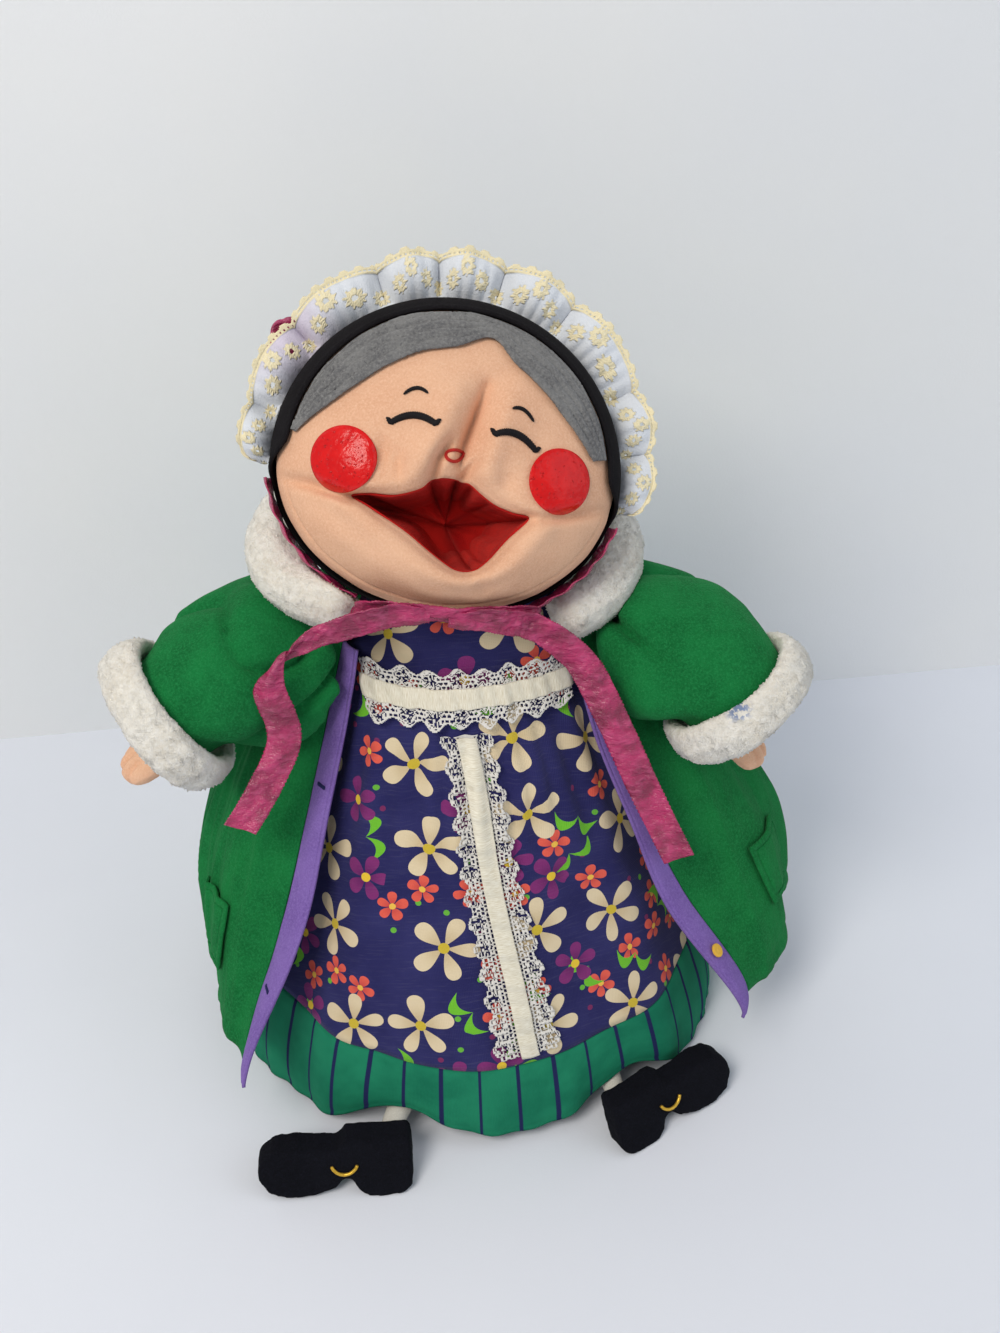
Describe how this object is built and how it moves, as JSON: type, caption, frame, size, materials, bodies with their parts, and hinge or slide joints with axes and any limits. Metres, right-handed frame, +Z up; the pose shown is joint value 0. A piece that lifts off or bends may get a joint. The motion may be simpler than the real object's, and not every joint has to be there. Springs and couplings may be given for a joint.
{
  "type": "plush hand puppet",
  "caption": "Plush hand puppet of a grandmother in bonnet, open coat, long lace-trimmed dress and felt boots, with a hand opening below and a soft mouth that a hand works.",
  "frame": {"origin": "middle of the whole puppet's footprint box, on the surface that it stands on", "axes": "+Z up, -Y the way the puppet faces, +X towards the puppet's left hand, which is the viewer's right"},
  "size_m": [0.3422, 0.2518, 0.3931],
  "materials": {
    "glove_cotton": "plain woven cotton",
    "floral_cotton": "printed cotton, navy with flowers",
    "striped_cotton": "printed cotton, green with narrow stripes",
    "white_lace": "gathered lace edging",
    "white_satin": "satin ribbon",
    "green_fleece": "short brushed fleece",
    "lilac_felt": "felt",
    "cream_plush": "short plush pile",
    "peach_fleece": "fine brushed fleece",
    "gray_fleece": "brushed fleece",
    "black_velvet": "velvet",
    "eyelet_lace": "cotton eyelet lace with a stitched edge",
    "pink_satin": "satin ribbon",
    "red_vinyl": "glossy vinyl",
    "red_cotton": "plain cotton lining",
    "black_thread": "stitched thread",
    "red_thread": "stitched thread",
    "navy_felt": "felt",
    "gold_film": "gold film trim",
    "yellow_button": "small button",
    "stocking_cotton": "stuffed cotton"
  },
  "bodies": {
    "root": {"bonnet_crown": "black_velvet", "bonnet_rosette": "pink_satin", "bonnet_ruffle": "eyelet_lace", "boot_left": "navy_felt", "boot_right": "navy_felt", "brow_left": "black_thread", "brow_right": "black_thread", "buckle_left": "gold_film", "buckle_right": "gold_film", "cheek_left": "red_vinyl", "cheek_right": "red_vinyl", "coat_back": "green_fleece", "coat_button": "yellow_button", "coat_front_left": "green_fleece", "coat_front_right": "green_fleece", "cuff_left": "cream_plush", "cuff_right": "cream_plush", "dress": "floral_cotton", "eye_left": "black_thread", "eye_right": "black_thread", "facing_left": "lilac_felt", "facing_right": "lilac_felt", "fur_collar": "cream_plush", "hair": "gray_fleece", "hand_left": "peach_fleece", "hand_right": "peach_fleece", "hand_sleeve": "glove_cotton", "head_shell": "peach_fleece", "hem_band": "striped_cotton", "lace_chest": "white_lace", "lace_front": "white_lace", "leg_left": "stocking_cotton", "leg_right": "stocking_cotton", "mouth_lining": "red_cotton", "nose": "red_thread", "pocket_left": "green_fleece", "pocket_right": "green_fleece", "ribbon_bow": "pink_satin", "ribbon_strap_left": "pink_satin", "ribbon_strap_right": "pink_satin", "ribbon_tail_left": "pink_satin", "ribbon_tail_right": "pink_satin", "satin_chest": "white_satin", "satin_front": "white_satin", "sleeve_left": "green_fleece", "sleeve_right": "green_fleece"}
  },
  "joints": []
}
